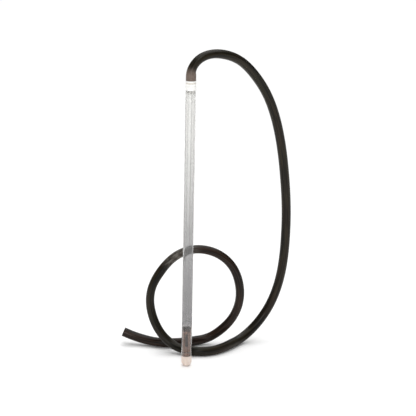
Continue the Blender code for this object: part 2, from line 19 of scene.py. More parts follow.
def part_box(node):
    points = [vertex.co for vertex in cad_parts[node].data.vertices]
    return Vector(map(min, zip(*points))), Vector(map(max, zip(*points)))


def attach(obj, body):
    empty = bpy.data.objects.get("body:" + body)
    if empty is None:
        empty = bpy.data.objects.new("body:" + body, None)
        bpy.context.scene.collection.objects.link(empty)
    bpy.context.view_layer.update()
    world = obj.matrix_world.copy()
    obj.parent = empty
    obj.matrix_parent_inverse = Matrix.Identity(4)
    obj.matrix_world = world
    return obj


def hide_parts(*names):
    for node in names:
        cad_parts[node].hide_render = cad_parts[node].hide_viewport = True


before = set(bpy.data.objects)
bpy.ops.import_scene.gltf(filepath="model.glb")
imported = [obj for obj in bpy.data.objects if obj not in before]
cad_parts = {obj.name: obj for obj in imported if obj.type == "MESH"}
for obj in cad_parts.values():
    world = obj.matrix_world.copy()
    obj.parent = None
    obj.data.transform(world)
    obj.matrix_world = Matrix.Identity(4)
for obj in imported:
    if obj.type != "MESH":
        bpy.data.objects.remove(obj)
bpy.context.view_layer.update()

LOG = logging.getLogger("siphon_wand")

Triple = tuple[float, float, float]
Triples = tuple[Triple, ...]
Colour = Triple
Outline = list[tuple[float, float]]

SMOOTH_BELOW = math.radians(40.0)  # edges flatter than this are shaded smooth
BEVEL_ABOVE = math.radians(28.0)  # edges sharper than this are rounded
EDGE = 0.0005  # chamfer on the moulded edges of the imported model
FIT_GAP = 0.0003  # between pieces that seat on each other
FLAT_BELOW = math.radians(1.0)  # triangles flatter than this become one face
MERGE_MADE = 0.000002  # points of a made shape closer than this are one
MERGE_PACKED = 0.000005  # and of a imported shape
CURVE_POINTS = 4000  # on a smooth curve before it is spaced evenly

SKY_SEEN = 1.05  # the surroundings' brightness to the camera
SKY_MIRRORED = 0.12  # in reflections
SKY_THROUGH = 0.58  # seen through the tube
SKY_LIGHT = 0.48  # as light


class Body(Enum):
    """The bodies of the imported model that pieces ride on."""

    WAND = "wand"
    POPPET = "poppet"
    NUT = "coupling_nut"


class Pattern(Enum):
    """Where a finish takes its coordinates from."""

    OBJECT = "object"
    STRAIGHT = "straight"  # the place on the hose as if it lay straight along Z


# ---- Finishes ------------------------------------------------------------------------------------


class Recipe:
    """A material's node tree, with one Principled shader to be fed."""

    def __init__(self, name: str, pattern: Pattern = Pattern.OBJECT) -> None:
        """Starts a material.

        Args:
            name: The material's name.
            pattern: Where its patterns take their coordinates from.
        """
        self.material = bpy.data.materials.new(name)
        self.material.use_nodes = True
        self.tree = self.material.node_tree
        self.shader = self.tree.nodes["Principled BSDF"]
        if pattern is Pattern.STRAIGHT:
            source = self.add("ShaderNodeAttribute", attribute_name=Pattern.STRAIGHT.value)
            self.place = source.outputs["Vector"]
        else:
            self.place = self.add("ShaderNodeTexCoord").outputs["Object"]

    def add(self, kind: str, **settings: object) -> bpy.types.Node:
        """Adds a node.

        Args:
            kind: The node's type.
            settings: Values for its own properties.

        Returns:
            The node.
        """
        node = self.tree.nodes.new(kind)
        for key, value in settings.items():
            setattr(node, key, value)
        return node

    def join(self, start: bpy.types.NodeSocket, end: bpy.types.NodeSocket) -> None:
        """Links one socket to another."""
        self.tree.links.new(start, end)

    def plain(self, **values: object) -> None:
        """Sets constant values on the shader's own sockets.

        Args:
            values: A value for each socket, named in lower case with underscores.
        """
        for key, value in values.items():
            self.shader.inputs[key.replace("_", " ").title().replace("Ior", "IOR")].default_value = value

    def scaled(self, scale: Triple) -> bpy.types.NodeSocket:
        """Stretches the pattern's coordinates.

        Args:
            scale: A factor for each axis.

        Returns:
            The stretched coordinates.
        """
        node = self.add("ShaderNodeMapping")
        node.inputs["Scale"].default_value = scale
        self.join(self.place, node.inputs["Vector"])
        return node.outputs["Vector"]

    def noise(self, scale: Triple, detail: float = 3.0, rough: float = 0.55) -> bpy.types.NodeSocket:
        """Adds a noise pattern.

        Args:
            scale: Features per metre along each axis.
            detail: Octaves.
            rough: How strong the finer octaves are.

        Returns:
            The noise's factor.
        """
        node = self.add("ShaderNodeTexNoise")
        node.inputs["Scale"].default_value = 1.0
        node.inputs["Detail"].default_value = detail
        node.inputs["Roughness"].default_value = rough
        self.join(self.scaled(scale), node.inputs["Vector"])
        return node.outputs["Fac"]

    def part(self, axis: str) -> bpy.types.NodeSocket:
        """One coordinate of the pattern's place, by the axis name."""
        node = self.add("ShaderNodeSeparateXYZ")
        self.join(self.place, node.inputs["Vector"])
        return node.outputs[axis]

    def span(
        self, value: bpy.types.NodeSocket, low: float, high: float, start: float = 0.0, end: float = 1.0
    ) -> bpy.types.NodeSocket:
        """Maps a range of values smoothly to another, and holds it beyond.

        Args:
            value: The value.
            low: Where the change begins.
            high: Where it ends.
            start: The result up to low.
            end: The result from high.

        Returns:
            The mapped value.
        """
        node = self.add("ShaderNodeMapRange", interpolation_type="SMOOTHSTEP")
        for key, number in zip(("From Min", "From Max", "To Min", "To Max"), (low, high, start, end)):
            node.inputs[key].default_value = number
        self.join(value, node.inputs["Value"])
        return node.outputs["Result"]

    def sum(
        self, kind: str, first: bpy.types.NodeSocket, second: bpy.types.NodeSocket | float
    ) -> bpy.types.NodeSocket:
        """Combines two values.

        Args:
            kind: The Math node's operation.
            first: One value.
            second: The other, a socket or a number.

        Returns:
            The result.
        """
        node = self.add("ShaderNodeMath", operation=kind)
        self.join(first, node.inputs[0])
        if isinstance(second, bpy.types.NodeSocket):
            self.join(second, node.inputs[1])
        else:
            node.inputs[1].default_value = second
        return node.outputs["Value"]

    def blend(
        self,
        share: bpy.types.NodeSocket,
        first: bpy.types.NodeSocket | Colour,
        second: bpy.types.NodeSocket | Colour,
    ) -> bpy.types.NodeSocket:
        """Blends two colours.

        Args:
            share: 0 for the first, 1 for the second.
            first: A colour or a socket.
            second: A colour or a socket.

        Returns:
            The blended colour.
        """
        node = self.add("ShaderNodeMix", data_type="RGBA")
        self.join(share, node.inputs[0])
        for socket, colour in ((node.inputs[6], first), (node.inputs[7], second)):
            if isinstance(colour, bpy.types.NodeSocket):
                self.join(colour, socket)
            else:
                socket.default_value = (*colour, 1.0)
        return node.outputs[2]

    def bump(self, height: bpy.types.NodeSocket, depth: float, strength: float = 1.0) -> None:
        """Adds relief to the shader, on top of any before it.

        Args:
            height: The relief, 0 to 1.
            depth: What 1 stands for, in metres.
            strength: Its share.
        """
        node = self.add("ShaderNodeBump")
        node.inputs["Strength"].default_value = strength
        node.inputs["Distance"].default_value = depth
        self.join(height, node.inputs["Height"])
        before = self.shader.inputs["Normal"].links
        if before:
            self.join(before[0].from_socket, node.inputs["Normal"])
        self.join(node.outputs["Normal"], self.shader.inputs["Normal"])

    def colour(self, colour: bpy.types.NodeSocket) -> None:
        """Feeds the shader's base colour."""
        self.join(colour, self.shader.inputs["Base Color"])

    def roughness(self, value: bpy.types.NodeSocket) -> None:
        """Feeds the shader's roughness."""
        self.join(value, self.shader.inputs["Roughness"])


@dataclass(frozen=True)
class Moulding:
    """Moulded plastic: a cloudy base colour, a fine grain, faint flow marks, and an optional band of
    painted shade round a recess.
    """

    name: str
    light: Colour
    dark: Colour
    gloss: float = 0.42
    soft: float = 0.0  # how far light spreads inside it
    # The colour of an optional painted shade band: shade painted into a recess, where less light falls.
    painted_shade: Colour | None = None
    shade_from: float = 0.0  # height of the painted shade band's lower edge
    shade_to: float = 0.0
    shade_fade: float = 0.0007

    def material(self) -> bpy.types.Material:
        """Makes the material.

        Returns:
            The material.
        """
        recipe = Recipe(self.name)
        clouds = recipe.noise((90.0, 90.0, 60.0), 4.0)
        base = recipe.blend(recipe.span(clouds, 0.35, 0.68), self.light, self.dark)
        # Painted shade: a darker band between two heights, standing in for the shadow inside a recessed
        # groove.
        if self.painted_shade is not None:
            height = recipe.part("Z")
            fade = self.shade_fade
            lower = recipe.span(height, self.shade_from - fade, self.shade_from + fade)
            upper = recipe.span(height, self.shade_to - fade, self.shade_to + fade, 1.0, 0.0)
            patchy = recipe.span(recipe.noise((160.0, 160.0, 60.0)), 0.3, 0.6, 0.45, 1.0)
            band = recipe.sum("MULTIPLY", recipe.sum("MULTIPLY", lower, upper), patchy)
            base = recipe.blend(band, base, self.painted_shade)
        recipe.colour(base)
        recipe.plain(metallic=0.0, ior=1.5)
        if self.soft:
            recipe.plain(subsurface_weight=self.soft, subsurface_scale=0.004)
            recipe.shader.inputs["Subsurface Radius"].default_value = (1.0, 0.7, 0.5)
        rubbed = recipe.noise((240.0, 240.0, 120.0), 2.0)
        recipe.roughness(recipe.span(rubbed, 0.3, 0.7, self.gloss - 0.06, self.gloss + 0.1))
        recipe.bump(recipe.noise((2600.0, 2600.0, 2600.0), 2.0), 0.00003)
        recipe.bump(recipe.noise((140.0, 140.0, 40.0), 2.0), 0.00015, 0.5)
        return recipe.material


@dataclass(frozen=True)
class ClearPlastic:
    """Extruded clear tube: faint die lines along it, and a tint that turns greyer towards its foot."""

    name: str = "clear_tube_plastic"
    clear: Colour = (0.95, 0.95, 0.935)
    foot_grey: Colour = (0.50, 0.495, 0.50)
    line: Colour = (0.50, 0.49, 0.49)
    valve: Colour = (0.93, 0.90, 0.88)
    valve_top: float = 0.128  # the grey starts above the valve
    grey_from: float = 0.145
    grey_to: float = 0.900
    lines: float = 290.0  # die lines per metre, counted straight across the tube
    let_through: tuple[float, float] = (0.985, 0.90)  # share of light: over the valve, and above it

    def material(self) -> bpy.types.Material:
        """Makes the material.

        Returns:
            The material.
        """
        recipe = Recipe(self.name)
        height = recipe.part("Z")
        # Greyer towards the foot, paler towards the top.
        rise = recipe.span(height, self.grey_from, self.grey_to)
        body = recipe.blend(rise, self.foot_grey, self.clear)
        body = recipe.blend(recipe.span(height, self.valve_top, self.grey_from), self.valve, body)
        lines = recipe.span(recipe.noise((self.lines, self.lines, 0.0), 1.0), 0.54, 0.62, 0.0, 0.85)
        recipe.colour(recipe.blend(lines, body, self.line))
        veil = recipe.span(height, self.valve_top, self.grey_from, *self.let_through)
        recipe.join(veil, recipe.shader.inputs["Transmission Weight"])
        recipe.plain(ior=1.42, metallic=0.0)
        wiped = recipe.noise((60.0, 60.0, 4.0), 3.0)
        recipe.roughness(recipe.span(wiped, 0.3, 0.7, 0.04, 0.12))
        recipe.bump(recipe.noise((420.0, 420.0, 0.3), 2.0), 0.00002, 0.5)
        return recipe.material


@dataclass(frozen=True)
class Vinyl:
    """Dark vinyl hose: lengthwise streaks, slow changes of tone, scuffs, and a paler stretched end."""

    length: float
    name: str = "dark_vinyl_hose"
    black: Colour = (0.0025, 0.0024, 0.0018)
    olive: Colour = (0.0210, 0.0185, 0.0095)
    brown: Colour = (0.0330, 0.0175, 0.0120)
    stretched: Colour = (0.17, 0.130, 0.108)
    scuffed: Colour = (0.13, 0.12, 0.105)
    stretched_to: float = 0.016
    stretch_fade: float = 0.030
    scuff_at: tuple[float, float] = (1.99, 2.09)
    scuff_fade: tuple[float, float] = (0.03, 0.02)  # outside and inside each end of the scuff
    ageing: tuple[float, float] = (0.52, 0.95)  # shares of the length over which it turns browner

    def material(self) -> bpy.types.Material:
        """Makes the material.

        Returns:
            The material.
        """
        recipe = Recipe(self.name, Pattern.STRAIGHT)
        along = recipe.part("Z")
        drift = recipe.span(recipe.noise((6.0, 6.0, 4.0), 2.0), 0.36, 0.62)
        young, old = self.ageing
        aged = recipe.span(along, young * self.length, old * self.length, 0.0, 0.75)
        browner = recipe.sum("ADD", recipe.sum("MULTIPLY", drift, 0.5), aged)
        tone = recipe.blend(recipe.sum("MINIMUM", browner, 1.0), self.olive, self.brown)
        streaks = recipe.span(recipe.noise((260.0, 260.0, 9.0), 4.0, 0.6), 0.34, 0.66)
        body = recipe.blend(streaks, self.black, tone)

        rubbed = recipe.noise((190.0, 190.0, 45.0), 4.0, 0.7)
        first, last = self.scuff_at
        before, within = self.scuff_fade
        inside = recipe.sum(
            "MULTIPLY",
            recipe.span(along, first - before, first + within),
            recipe.span(along, last - within, last + before, 1.0, 0.0),
        )
        patch = recipe.sum("MULTIPLY", inside, recipe.span(rubbed, 0.42, 0.6, 0.15, 1.0))
        nicks = recipe.span(recipe.noise((120.0, 120.0, 16.0), 5.0, 0.75), 0.66, 0.76, 0.0, 0.35)
        body = recipe.blend(recipe.sum("MAXIMUM", patch, nicks), body, self.scuffed)

        mottled = recipe.span(recipe.noise((300.0, 300.0, 120.0), 3.0), 0.25, 0.6, 0.55, 1.0)
        faded = recipe.span(along, self.stretched_to, self.stretched_to + self.stretch_fade, 1.0, 0.0)
        pale = recipe.sum("MULTIPLY", faded, mottled)
        recipe.colour(recipe.blend(pale, body, self.stretched))

        recipe.plain(metallic=0.0, ior=1.4, specular_ior_level=0.24)
        dull = recipe.span(recipe.noise((60.0, 60.0, 12.0), 3.0), 0.3, 0.7, 0.27, 0.40)
        recipe.roughness(recipe.sum("ADD", dull, recipe.sum("MULTIPLY", patch, 0.2)))
        recipe.bump(recipe.noise((1500.0, 1500.0, 1500.0), 2.0), 0.00004)
        recipe.bump(recipe.noise((420.0, 420.0, 6.0), 2.0), 0.00012, 0.7)
        return recipe.material


# ---- Shaping -------------------------------------------------------------------------------------


def spun(outline: Outline, segments: int) -> bmesh.types.BMesh:
    """Spins an outline round the Z axis into a closed body.

    Args:
        outline: A ring of (radius, height), or a line that starts and ends on the axis.
        segments: Facets round the axis.

    Returns:
        The body.
    """
    shape = bmesh.new()
    points = [shape.verts.new((radius, 0.0, height)) for radius, height in outline]
    edges = [shape.edges.new(pair) for pair in zip(points, points[1:])]
    if outline[0][0] > 0.0:
        edges.append(shape.edges.new((points[-1], points[0])))
    bmesh.ops.spin(
        shape, geom=points + edges, cent=(0, 0, 0), axis=(0, 0, 1), dvec=(0, 0, 0),
        angle=math.tau, steps=segments, use_merge=True, use_duplicate=False,
    )
    bmesh.ops.remove_doubles(shape, verts=shape.verts, dist=MERGE_MADE)
    bmesh.ops.recalc_face_normals(shape, faces=shape.faces)
    return shape


def copied(node: str, flattened: bool = True) -> bmesh.types.BMesh:
    """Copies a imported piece's shape, with its loose triangles merged.

    Args:
        node: The piece's node.
        flattened: Whether each flat stretch becomes one face.

    Returns:
        The copy.
    """
    shape = bmesh.new()
    shape.from_mesh(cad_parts[node].data)
    bmesh.ops.remove_doubles(shape, verts=shape.verts, dist=MERGE_PACKED)
    if flattened:
        bmesh.ops.dissolve_limit(
            shape, angle_limit=FLAT_BELOW, verts=shape.verts, edges=shape.edges,
            use_dissolve_boundaries=False,
        )
    return shape


def rounded(shape: bmesh.types.BMesh, offset: float, segments: int = 2) -> None:
    """Rounds every sharp edge of a body.

    Args:
        shape: The body.
        offset: The width of the rounding.
        segments: How many facets it has.
    """
    sharp = [
        edge for edge in shape.edges
        if len(edge.link_faces) == 2 and edge.calc_face_angle(0.0) > BEVEL_ABOVE
    ]
    bmesh.ops.bevel(
        shape, geom=sharp, offset=offset, segments=segments, profile=0.5, affect="EDGES",
        clamp_overlap=True, material=-1,
    )


def as_object(name: str, shape: bmesh.types.BMesh) -> bpy.types.Object:
    """Makes an object of a body and frees the body.

    Args:
        name: The object's name.
        shape: The body, in its final place.

    Returns:
        The object, at the origin.
    """
    mesh = bpy.data.meshes.new(name)
    shape.to_mesh(mesh)
    shape.free()
    mesh.shade_smooth()
    mesh.set_sharp_from_angle(angle=SMOOTH_BELOW)
    piece = bpy.data.objects.new(name, mesh)
    bpy.context.scene.collection.objects.link(piece)
    return piece


def steadied(piece: bpy.types.Object) -> None:
    """Shades a piece's rounded edges without tilting the shading of its large faces."""
    step = piece.modifiers.new("Steady shading", "WEIGHTED_NORMAL")
    step.keep_sharp = True
    step.weight = 90


def carved(piece: bpy.types.Object, tools: list[bpy.types.Object]) -> None:
    """Cuts tools from a piece, and removes them.

    Args:
        piece: The piece, whose mesh is changed.
        tools: Closed cutters.
    """
    for tool in tools:
        step = piece.modifiers.new("Cut", "BOOLEAN")
        step.operation = "DIFFERENCE"
        step.solver = "EXACT"
        step.object = tool
    graph = bpy.context.evaluated_depsgraph_get()
    result = bpy.data.meshes.new_from_object(piece.evaluated_get(graph), depsgraph=graph)
    piece.modifiers.clear()
    result.name = piece.name
    piece.data = result
    for tool in tools:
        bpy.data.objects.remove(tool, do_unlink=True)


def bar(name: str, size: Triple, turn: float, height: float) -> bpy.types.Object:
    """A box cutter across the axis.

    Args:
        name: Its name.
        size: Its full sizes.
        turn: Its turn about the axis, in radians.
        height: The height of its middle.

    Returns:
        The cutter.
    """
    shape = bmesh.new()
    place = Matrix.Translation((0.0, 0.0, height)) @ Matrix.Rotation(turn, 4, "Z")
    bmesh.ops.create_cube(shape, size=1.0, matrix=place @ Matrix.Diagonal((*size, 1.0)))
    return as_object(name, shape)


def fitted(piece: bpy.types.Object, body: Body, nodes: tuple[str, ...]) -> None:
    """Puts a piece into the frame.

    Args:
        piece: The piece.
        body: The body it rides on.
        nodes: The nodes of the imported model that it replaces.
    """
    steadied(piece)
    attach(piece, body.value)
    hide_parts(*nodes)
    LOG.info("%s: %d faces, for %s", piece.name, len(piece.data.polygons), ", ".join(nodes))


# ---- The hose ------------------------------------------------------------------------------------


@dataclass
class Hose:
    """The long hose: pushed over the barb, arching over, falling, and looping once on the floor."""

    length: float = 2.85
    diameter: float = 0.0318
    wall: float = 0.0032
    cuff_radius: float = 0.0167  # where the barb stretches it
    cuff_bore: float = 0.0135
    cuff_height: float = 0.0175
    flare: float = 0.016  # over which it narrows to its own size
    lead: float = 0.00318
    open_depth: float = 0.075  # of the bore that shows at the free end
    pace: float = 0.006  # between its rings
    spacing: float = 0.002  # between the points of its middle line
    around: int = 40
    flattening: float = 0.0145  # share lost in the bend's plane, per unit of curvature
    most_flat: float = 0.13
    smoothing: int = 25  # points of the middle line that the flattening is averaged over
    flat_from: float = 0.03  # past the cuff, where the flattening reaches its full share
    hold: float = 0.80  # share of the cuff's height that the barb stretches fully
    bead: float = 0.00022  # how far each of the barb's teeth shows
    bead_from: float = 0.004
    stop_gap: float = 0.0008  # past the cuff, to the plug that closes its bore
    rim_round: float = 0.0006  # at the free end
    bore_round: float = 0.0003
    arch: Triples = (
        (0.021, 0.010, 0.045),
        (0.060, 0.033, 0.061),
        (0.098, 0.060, 0.057),
        (0.152, 0.103, 0.031),
        (0.204, 0.149, -0.025),
        (0.250, 0.188, -0.102),
        (0.286, 0.217, -0.205),
        (0.318, 0.246, -0.393),
    )
    fall: Triples = (
        (0.327, 0.257, 0.480),
        (0.328, 0.264, 0.378),
        (0.322, 0.269, 0.280),
        (0.306, 0.272, 0.193),
        (0.274, 0.269, 0.112),
        (0.233, 0.255, 0.055),
        (0.198, 0.233, 0.026),
    )
    on_floor: Triples = (
        (0.165, 0.194, 0.0159),
        (0.126, 0.138, 0.0159),
        (0.081, 0.099, 0.0159),
        (0.035, 0.091, 0.0159),
    )
    loop: Triples = (
        (-0.012, 0.104, 0.017),
        (-0.052, 0.120, 0.031),
        (-0.090, 0.131, 0.066),
        (-0.114, 0.139, 0.110),
        (-0.127, 0.146, 0.165),
        (-0.120, 0.150, 0.224),
        (-0.094, 0.154, 0.274),
        (-0.054, 0.158, 0.321),
        (-0.002, 0.162, 0.349),
        (0.055, 0.167, 0.351),
        (0.107, 0.172, 0.331),
        (0.149, 0.178, 0.289),
        (0.171, 0.183, 0.235),
        (0.175, 0.190, 0.168),
        (0.154, 0.197, 0.104),
        (0.115, 0.204, 0.055),
        (0.068, 0.206, 0.023),
    )
    tail: Triples = (
        (0.022, 0.193, 0.0159),
        (-0.025, 0.174, 0.0159),
        (-0.072, 0.169, 0.0159),
        (-0.118, 0.178, 0.017),
        (-0.158, 0.188, 0.023),
        (-0.192, 0.195, 0.032),
        (-0.219, 0.199, 0.042),
    )
    middle: np.ndarray = field(init=False, repr=False)

    def __post_init__(self) -> None:
        """Lays the hose's middle line."""
        self.middle = self.laid()

    def laid(self) -> np.ndarray:
        """Lays the middle line from the hose's end over the barb to its free end.

        Returns:
            Points about one spacing apart along it.
        """
        low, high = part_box("hose_cuff")
        start = high.z + FIT_GAP
        chosen = [
            (0.0, 0.0, start + self.lead),
            *((x, y, start + z) for x, y, z in self.arch),
            *self.fall, *self.on_floor, *self.loop, *self.tail,
        ]
        track = self.through(np.array(chosen))
        track[:, 2] = np.maximum(track[:, 2], self.diameter / 2)
        track = np.vstack([[(0.0, 0.0, low.z)], track])
        run = np.concatenate([[0.0], np.cumsum(np.linalg.norm(np.diff(track, axis=0), axis=1))])
        stations = np.linspace(0.0, run[-1], round(run[-1] / self.spacing) + 1)
        return np.stack([np.interp(stations, run, track[:, axis]) for axis in range(3)], axis=1)

    @staticmethod
    def through(knots: np.ndarray) -> np.ndarray:
        """Draws a smooth curve through points, upright at its start and unbent at its end.

        Args:
            knots: The points, one a row.

        Returns:
            Points on the curve, a cubic spline over chord length.
        """
        chords = np.linalg.norm(np.diff(knots, axis=0), axis=1)
        at = np.concatenate([[0.0], np.cumsum(chords)])
        slopes = np.diff(knots, axis=0) / chords[:, None]
        count = len(knots)
        system, wanted = np.eye(count), np.zeros((count, 3))
        system[0, :2] = 2 * chords[0], chords[0]
        wanted[0] = 6 * (slopes[0] - np.array((0.0, 0.0, 1.0)))
        for i in range(1, count - 1):
            system[i, i - 1 : i + 2] = chords[i - 1], 2 * (chords[i - 1] + chords[i]), chords[i]
            wanted[i] = 6 * (slopes[i] - slopes[i - 1])
        bends = np.linalg.solve(system, wanted)
        fine = np.linspace(0.0, at[-1], CURVE_POINTS)
        i = np.clip(np.searchsorted(at, fine, side="right") - 1, 0, count - 2)
        size = chords[i][:, None]
        left, right = (at[i + 1] - fine)[:, None], (fine - at[i])[:, None]
        return (
            (bends[i] * left**3 + bends[i + 1] * right**3) / (6 * size)
            + (knots[i] / size - bends[i] * size / 6) * left
            + (knots[i + 1] / size - bends[i + 1] * size / 6) * right
        )

    def run(self) -> float:
        """The middle line's length."""
        return float(np.linalg.norm(np.diff(self.middle, axis=0), axis=1).sum())

    def straight(self) -> bmesh.types.BMesh:
        """Makes the hose as if it lay straight along Z, with both ends open.

        Returns:
            The hose, from height 0 to its length.
        """
        radius, run, bore = self.diameter / 2, self.run(), self.diameter / 2 - self.wall
        stop = self.cuff_height + self.stop_gap
        hold = self.cuff_height * self.hold
        waist = hold + self.flare
        swell = [
            (self.cuff_radius + self.bead * math.cos(i * math.pi),
             self.bead_from + (hold - self.bead_from) * i / 8)
            for i in range(9)
        ]
        outline = [
            (0.0, stop),
            (self.cuff_bore, stop),
            (self.cuff_bore, 0.0),
            (self.cuff_radius - 0.0007, 0.0),
            (self.cuff_radius - 0.0001, 0.0007),
            *swell,
            ((self.cuff_radius * 2 + radius) / 3, hold + self.flare * 0.35),
            ((self.cuff_radius + radius * 4) / 5, hold + self.flare * 0.70),
            (radius, waist),
            (radius, run - self.rim_round),
            (radius - self.rim_round, run),
            (bore + self.bore_round, run),
            (bore, run - self.bore_round),
            (bore, run - self.open_depth),
            (0.0, run - self.open_depth),
        ]
        shape = spun(outline, self.around)
        for top in (run - self.rim_round, run - self.bore_round):
            long = [
                edge for edge in shape.edges
                if abs(max(corner.co.z for corner in edge.verts) - top) < 1e-6
                and edge.calc_length() > 4 * self.pace
            ]
            cuts = round(long[0].calc_length() / self.pace) - 1
            bmesh.ops.subdivide_edges(shape, edges=long, cuts=cuts)
        return shape

    def bent(self, places: np.ndarray) -> np.ndarray:
        """Moves places on the straight hose to where they lie along its middle line.

        Args:
            places: Places on the straight hose, one a row.

        Returns:
            The same places on the laid hose. Its section is flattened a little where it bends.
        """
        line = self.middle
        steps = np.linalg.norm(np.diff(line, axis=0), axis=1)
        at = np.concatenate([[0.0], np.cumsum(steps)])
        ahead = np.gradient(line, axis=0)
        ahead /= np.linalg.norm(ahead, axis=1)[:, None]
        turn = np.gradient(ahead, axis=0) / steps.mean()
        window = np.hanning(self.smoothing) / np.hanning(self.smoothing).sum()
        turn = np.stack([np.convolve(turn[:, k], window, "same") for k in range(3)], axis=1)
        side = np.empty_like(ahead)
        side[0] = (1.0, 0.0, 0.0)
        for i in range(1, len(line)):
            moved = side[i - 1] - ahead[i] * np.dot(side[i - 1], ahead[i])
            side[i] = moved / np.linalg.norm(moved)
        across = np.cross(ahead, side)

        def read(table: np.ndarray) -> np.ndarray:
            """Reads a table of vectors at each place's distance along the hose."""
            return np.stack([np.interp(places[:, 2], at, table[:, k]) for k in range(3)], axis=1)

        offset = places[:, :1] * read(side) + places[:, 1:2] * read(across)
        bend = read(turn)
        size = np.linalg.norm(bend, axis=1)[:, None]
        towards = bend / np.maximum(size, 1e-6)
        free = np.clip((places[:, 2:] - self.cuff_height) / self.flat_from, 0.0, 1.0)
        lost = np.minimum(self.flattening * size, self.most_flat) * free
        offset -= lost * (offset * towards).sum(axis=1)[:, None] * towards
        return read(line) + offset

    def build(self) -> bpy.types.Object:
        """Builds the hose.

        Returns:
            The hose, in its place.
        """
        piece = as_object("vinyl_hose", self.straight())
        mesh = piece.data
        places = np.empty(len(mesh.vertices) * 3)
        mesh.vertices.foreach_get("co", places)
        kept = mesh.attributes.new(Pattern.STRAIGHT.value, "FLOAT_VECTOR", "POINT")
        kept.data.foreach_set("vector", places)
        mesh.vertices.foreach_set("co", self.bent(places.reshape(-1, 3)).ravel())
        mesh.update()
        return piece

    def dress(self, piece: bpy.types.Object) -> None:
        """Args:
            piece: The hose.
        """
        piece.data.materials.append(Vinyl(length=self.run()).material())
        fitted(piece, Body.WAND, ("hose_cuff", "hose"))
        LOG.info("hose: %.3f m along its middle", self.run())


# ---- The tube and the nose -----------------------------------------------------------------------


@dataclass
class ClearTube:
    """The long clear tube, square cut at both ends."""

    wall: float = 0.002
    around: int = 128
    edge: float = 0.00025
    finish: ClearPlastic = ClearPlastic()

    def build(self) -> bpy.types.Object:
        """Builds the tube.

        Returns:
            The tube.
        """
        low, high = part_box("clear_tube")
        radius = high.x
        outline = [
            (radius, high.z),
            (radius, low.z),
            (radius - self.wall, low.z),
            (radius - self.wall, high.z),
        ]
        shape = spun(outline, self.around)
        rounded(shape, self.edge)
        return as_object("clear_tube_shell", shape)

    def dress(self, piece: bpy.types.Object) -> None:
        """Gives the tube its finish."""
        piece.data.materials.append(self.finish.material())
        fitted(piece, Body.WAND, ("clear_tube",))


@dataclass
class Nose:
    """The soft domed tip that the wand stands on, with a notched foot and a socket for the valve."""

    foot_radius: float = 0.009
    mouth_radius: float = 0.0055
    dome_height: float = 0.0165
    cavity_wall: float = 0.0072
    socket_radius: float = 0.0123
    socket_depth: float = 0.0155
    notch_width: float = 0.003
    notch_depth: float = 0.0025
    seam_height: float = 0.0295
    seam_half: float = 0.0004  # from its middle to its edge
    seam_floor: float = 0.0002  # from its middle to the edge of its floor
    seam_depth: float = 0.0006
    top_step: float = 0.0002  # how far the band above the seam stands back
    around: int = 96
    edge: float = 0.0003
    finish: Moulding = Moulding(
        "cream_soft_plastic", (0.76, 0.645, 0.575), (0.70, 0.59, 0.52), gloss=0.40, soft=0.25
    )

    def build(self) -> bpy.types.Object:
        """Builds the nose.

        Returns:
            The nose.
        """
        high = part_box("nose_tip")[1]
        radius, top = high.x, high.z
        end = math.degrees(math.acos(self.foot_radius / radius))
        rise = self.dome_height / math.sin(math.radians(end))
        dome = [
            (radius * math.cos(math.radians(end * i / 20)),
             self.dome_height - rise * math.sin(math.radians(end * i / 20)))
            for i in range(21)
        ]
        dome[-1] = (self.foot_radius, 0.0)
        cavity = radius - self.cavity_wall
        floor = top - self.socket_depth
        outline = [
            (self.socket_radius, top),
            (radius - self.top_step, top),
            (radius - self.top_step, self.seam_height + self.seam_half),
            (radius - self.seam_depth, self.seam_height + self.seam_floor),
            (radius - self.seam_depth, self.seam_height - self.seam_floor),
            (radius, self.seam_height - self.seam_half),
            *dome,
            (self.mouth_radius, 0.0),
            (self.mouth_radius, self.dome_height / 2),
            (cavity, floor - EDGE),
            (cavity, floor),
            (self.socket_radius, floor),
        ]
        piece = as_object("nose_soft_tip", spun(outline, self.around))
        size = (0.06, self.notch_width, 2 * self.notch_depth)
        carved(piece, [bar(f"notch_{i}", size, math.radians(45 + 90 * i), 0.0) for i in range(2)])
        shape = bmesh.new()
        shape.from_mesh(piece.data)
        bmesh.ops.remove_doubles(shape, verts=shape.verts, dist=MERGE_MADE)
        rounded(shape, self.edge)
        bpy.data.objects.remove(piece, do_unlink=True)
        return as_object("nose_soft_tip", shape)

    def dress(self, piece: bpy.types.Object) -> None:
        """Gives the nose its finish."""
        piece.data.materials.append(self.finish.material())
        fitted(piece, Body.WAND, ("nose_tip",))


# ---- The valve -----------------------------------------------------------------------------------


@dataclass(frozen=True)
class ValvePiece:
    """One moulded piece of the valve, and the finish it gets."""

    node: str
    body: Body
    slot: str
    finish: Moulding
    edge: float = 0.0003


